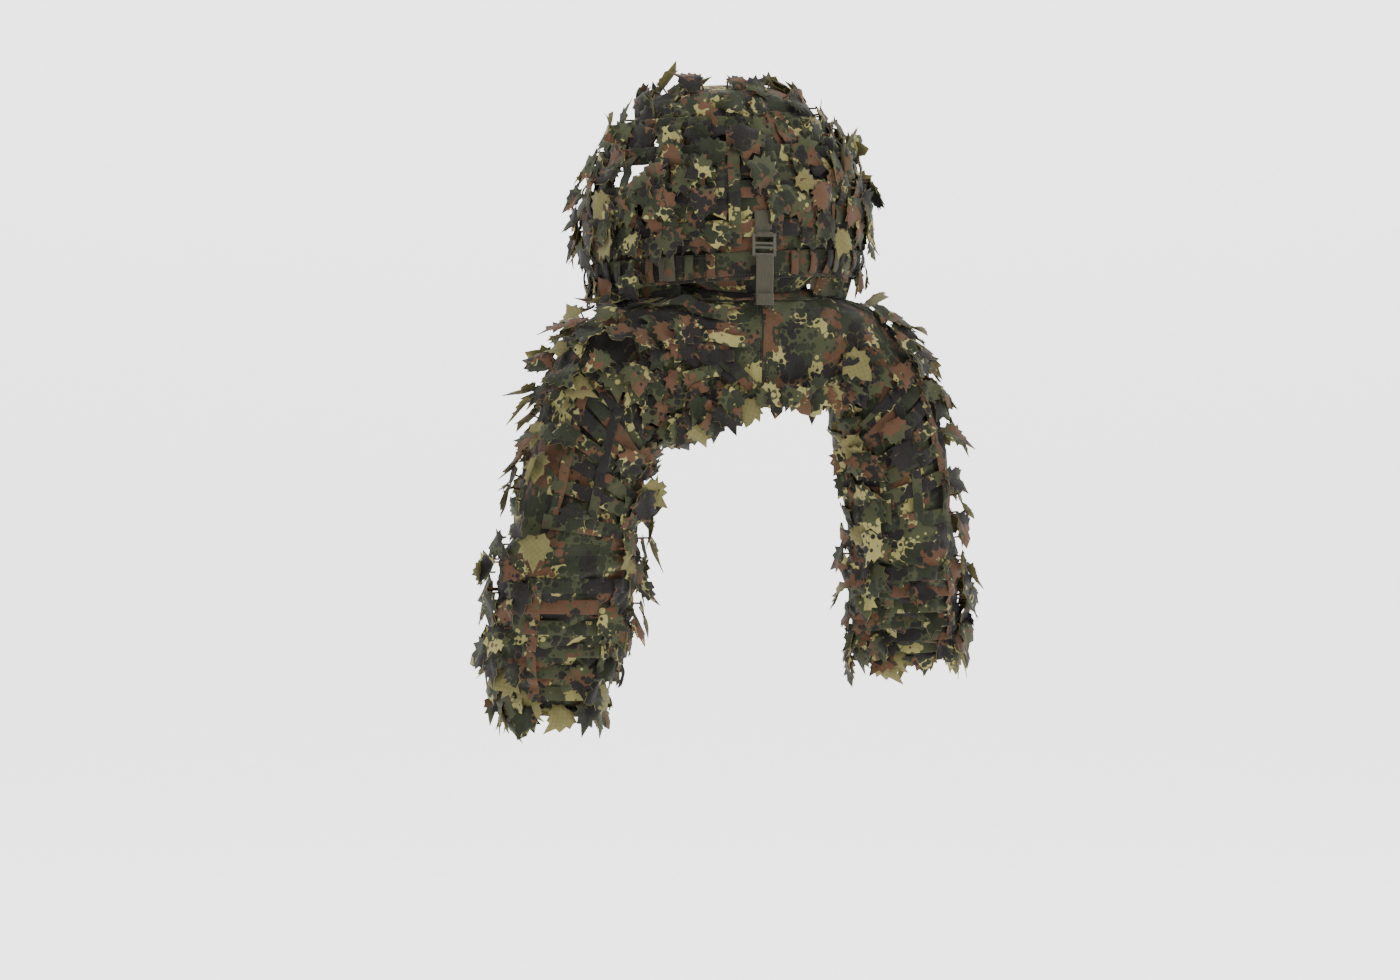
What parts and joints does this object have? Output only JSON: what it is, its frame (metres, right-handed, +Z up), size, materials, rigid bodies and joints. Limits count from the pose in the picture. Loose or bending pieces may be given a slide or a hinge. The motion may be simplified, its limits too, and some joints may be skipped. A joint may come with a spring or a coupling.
{
  "type": "ghillie suit",
  "caption": "Leaf-covered camouflage hood, shoulder yoke and long sleeves; the hood folds back and the sleeves bend at shoulder and elbow.",
  "frame": {"origin": "base of the wearer's neck, on the wearer's centre plane at shoulder height", "axes": "-Y the way the wearer faces, +X the wearer's left, +Z up, along the garment's longest side"},
  "size_m": [0.7585, 0.3183, 0.9348],
  "materials": {
    "camo_cloth": "matt ripstop with a blotched woodland print",
    "camo_trim": "matt ripstop, folded and stitched",
    "camo_leaves": "matt laser-cut cloth",
    "green_tape": "matt woven tape",
    "olive_webbing": "matt ribbed webbing",
    "olive_plastic": "moulded, fine grain"
  },
  "bodies": {
    "yoke": {"yoke_back_left": "camo_cloth", "yoke_back_right": "camo_cloth", "yoke_front_left": "camo_cloth", "yoke_front_right": "camo_cloth", "neck_collar": "camo_trim", "yoke_hem_binding": "green_tape", "yoke_ladder_tapes": "green_tape", "yoke_back_leaves": "camo_leaves", "chest_strap_left": "olive_webbing", "chest_strap_right": "olive_webbing", "buckle_socket": "olive_plastic", "buckle_plug": "olive_plastic"},
    "chest_slider": {"chest_strap_slider": "olive_plastic"},
    "prong_upper": {"buckle_prong_upper": "olive_plastic"},
    "prong_lower": {"buckle_prong_lower": "olive_plastic"},
    "hood": {"hood_rear_panel": "camo_cloth", "hood_left_panel": "camo_cloth", "hood_right_panel": "camo_cloth", "hood_crown": "camo_cloth", "hood_face_hem": "camo_trim", "hood_neck_band": "camo_trim", "hood_cross_tapes": "green_tape", "hood_upright_tapes": "green_tape", "hood_left_tab": "olive_webbing", "hood_right_tab": "olive_webbing", "adjuster_anchor_tab": "olive_webbing", "hood_rear_leaves": "camo_leaves", "hood_left_leaves": "camo_leaves", "hood_right_leaves": "camo_leaves", "hood_crown_leaves": "camo_leaves"},
    "adjuster": {"rear_ladder_lock": "olive_plastic"},
    "tail": {"rear_strap_tail": "olive_webbing"},
    "left_upper_arm": {"left_upper_sleeve": "camo_cloth", "left_upper_tapes": "green_tape", "left_upper_leaves": "camo_leaves"},
    "left_forearm": {"left_forearm_sleeve": "camo_cloth", "left_forearm_tapes": "green_tape", "left_cuff_band": "camo_trim", "left_forearm_leaves": "camo_leaves"},
    "right_upper_arm": {"right_upper_sleeve": "camo_cloth", "right_upper_tapes": "green_tape", "right_upper_leaves": "camo_leaves"},
    "right_forearm": {"right_forearm_sleeve": "camo_cloth", "right_forearm_tapes": "green_tape", "right_cuff_band": "camo_trim", "right_forearm_leaves": "camo_leaves"}
  },
  "joints": [
    {"name": "hood_fold", "type": "hinge", "parent": "yoke", "child": "hood", "pos_m": [0, 0.105, 0.018], "axis": [-1, 0, 0], "range_deg": [0, 115]},
    {"name": "adjuster_lift", "type": "hinge", "parent": "hood", "child": "adjuster", "pos_m": [0, 0.114, 0.082], "axis": [1, 0, 0], "range_deg": [0, 35]},
    {"name": "strap_tail_hang", "type": "hinge", "parent": "adjuster", "child": "tail", "pos_m": [0, 0.114, 0.056], "axis": [-1, 0, 0], "range_deg": [-115, 0]},
    {"name": "left_shoulder_raise", "type": "hinge", "parent": "yoke", "child": "left_upper_arm", "pos_m": [0.182, -0.004, -0.006], "axis": [0, -1, 0], "range_deg": [0, 50]},
    {"name": "left_elbow_bend", "type": "hinge", "parent": "left_upper_arm", "child": "left_forearm", "pos_m": [0.252, -0.058, -0.349], "axis": [-1, 0, 0], "range_deg": [0, 70]},
    {"name": "right_shoulder_raise", "type": "hinge", "parent": "yoke", "child": "right_upper_arm", "pos_m": [-0.184, -0.004, -0.004], "axis": [0, 1, 0], "range_deg": [0, 50]},
    {"name": "right_elbow_bend", "type": "hinge", "parent": "right_upper_arm", "child": "right_forearm", "pos_m": [-0.233, -0.068, -0.342], "axis": [-1, 0, 0], "range_deg": [0, 60]},
    {"name": "chest_slider_slide", "type": "slide", "parent": "yoke", "child": "chest_slider", "axis": [1, 0, 0], "range_m": [0, 0.03]},
    {"name": "prong_upper_squeeze", "type": "hinge", "parent": "yoke", "child": "prong_upper", "pos_m": [0.0007, -0.1288, -0.11], "axis": [0, 1, 0], "range_deg": [0, 6], "stiffness_Nm_per_rad": 0.05},
    {"name": "prong_lower_squeeze", "type": "hinge", "parent": "yoke", "child": "prong_lower", "pos_m": [0.0007, -0.1288, -0.13], "axis": [0, -1, 0], "range_deg": [0, 6], "stiffness_Nm_per_rad": 0.05}
  ],
  "couplings": [
    {"joint": "strap_tail_hang", "follows": "hood_fold", "ratio": -1},
    {"joint": "prong_lower_squeeze", "follows": "prong_upper_squeeze", "ratio": 1}
  ]
}
